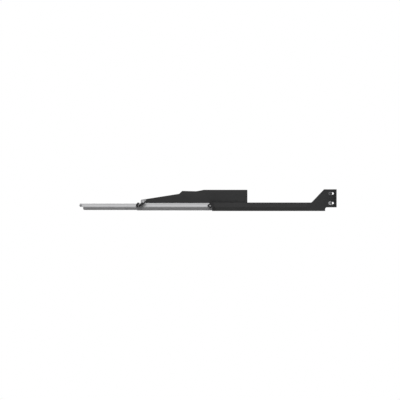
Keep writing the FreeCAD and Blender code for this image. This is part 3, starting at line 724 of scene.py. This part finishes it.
dress_solids()
detail_fasteners("rail_rivets", blind_rivet)
detail_fasteners("foot_rivets", blind_rivet, upright=True)
detail_fasteners("spool_screws", pan_head_screw, upright=True)
detail_fasteners("block_screws", pan_head_screw, heads_outward=False)
detail_fasteners("bar_screws", bar_screw)
detail_fasteners("ear_screws", socket_screw)
detail_fasteners("ear_nuts", hex_nut)
detail_fasteners("lever_pins", headed_pin)


# Studio

def seen_rays(tree):
    """1 for rays from the camera, in reflections and through glass, and 0 for light that scatters."""
    path = tree.nodes.new("ShaderNodeLightPath")
    first = tree.nodes.new("ShaderNodeMath")
    first.operation = "MAXIMUM"
    second = tree.nodes.new("ShaderNodeMath")
    second.operation = "MAXIMUM"
    tree.links.new(path.outputs["Is Camera Ray"], first.inputs[0])
    tree.links.new(path.outputs["Is Glossy Ray"], first.inputs[1])
    tree.links.new(first.outputs[0], second.inputs[0])
    tree.links.new(path.outputs["Is Transmission Ray"], second.inputs[1])
    return second.outputs[0]


def white_surroundings():
    """White backdrop all round, which fills the shadows only a little."""
    world = bpy.data.worlds.new("studio")
    bpy.context.scene.world = world
    world.use_nodes = True
    tree = world.node_tree
    background = tree.nodes["Background"]
    background.inputs["Color"].default_value = WHITE
    strength = spread(tree, seen_rays(tree), low=FILL_STRENGTH, high=1.0, start=0.0, end=1.0)
    tree.links.new(strength, background.inputs["Strength"])


def pale_floor():
    """Plain pale floor just under the arms, which throws little light back up."""
    shape = bmesh.new()
    bmesh.ops.create_grid(shape, x_segments=1, y_segments=1, size=FLOOR_SIDE / 2)
    place = Vector((PICTURE_CENTRE_X, 0, cad_box[0][2] - FLOOR_GAP))
    bmesh.ops.translate(shape, vec=place, verts=shape.verts)
    mesh = bpy.data.meshes.new("floor")
    shape.to_mesh(mesh)
    shape.free()
    floor = bpy.data.objects.new("floor", mesh)
    bpy.context.scene.collection.objects.link(floor)
    material, tree, shader = start_finish("pale_floor")
    mix = tree.nodes.new("ShaderNodeMixShader")
    shade = tree.nodes.new("ShaderNodeBsdfDiffuse")
    shade.inputs["Color"].default_value = FLOOR_BOUNCE
    shader.inputs["Base Color"].default_value = FLOOR_COLOUR
    shader.inputs["Roughness"].default_value = FLOOR_ROUGHNESS
    shader.inputs["Emission Color"].default_value = WHITE
    shader.inputs["Emission Strength"].default_value = FLOOR_GLOW
    tree.links.new(seen_rays(tree), mix.inputs["Fac"])
    tree.links.new(shade.outputs["BSDF"], mix.inputs[1])
    tree.links.new(shader.outputs["BSDF"], mix.inputs[2])
    tree.links.new(mix.outputs["Shader"], tree.nodes["Material Output"].inputs["Surface"])
    mesh.materials.append(material)


def softbox(name, side, elevation, power):
    """Large soft light above one side of the object, aimed at the outer face there."""
    light = bpy.data.lights.new(name, "AREA")
    light.shape = "RECTANGLE"
    light.size = 2 * SOFTBOX_SIZE
    light.size_y = SOFTBOX_SIZE
    light.energy = power
    lamp = bpy.data.objects.new(name, light)
    bpy.context.scene.collection.objects.link(lamp)
    height = SOFTBOX_DISTANCE * math.sin(math.radians(elevation))
    away = SOFTBOX_DISTANCE * math.cos(math.radians(elevation))
    target = Vector((PICTURE_CENTRE_X, side * cad_box[1][1], 0))
    lamp.location = target + Vector((0, side * away, height))
    lamp.rotation_euler = (target - lamp.location).to_track_quat("-Z", "Y").to_euler()
    lamp.visible_glossy = False


def side_camera():
    """Level side view without perspective, framed as the photograph is."""
    camera = bpy.data.cameras.new("side_view")
    camera.type = "ORTHO"
    camera.ortho_scale = PICTURE_SPAN
    camera.clip_end = CAMERA_REACH
    eye = bpy.data.objects.new("side_view", camera)
    bpy.context.scene.collection.objects.link(eye)
    eye.location = (PICTURE_CENTRE_X, -CAMERA_DISTANCE, cad_box[0][2] + PICTURE_CENTRE_ABOVE_ARM)
    eye.rotation_euler = (QUARTER_TURN, 0, 0)
    bpy.context.scene.camera = eye


white_surroundings()
pale_floor()
softbox("key_softbox", NEAR_SIDE, KEY_ELEVATION, KEY_POWER)
softbox("back_softbox", FAR_SIDE, BACK_ELEVATION, BACK_POWER)
side_camera()
bpy.context.scene.view_settings.view_transform = "Standard"
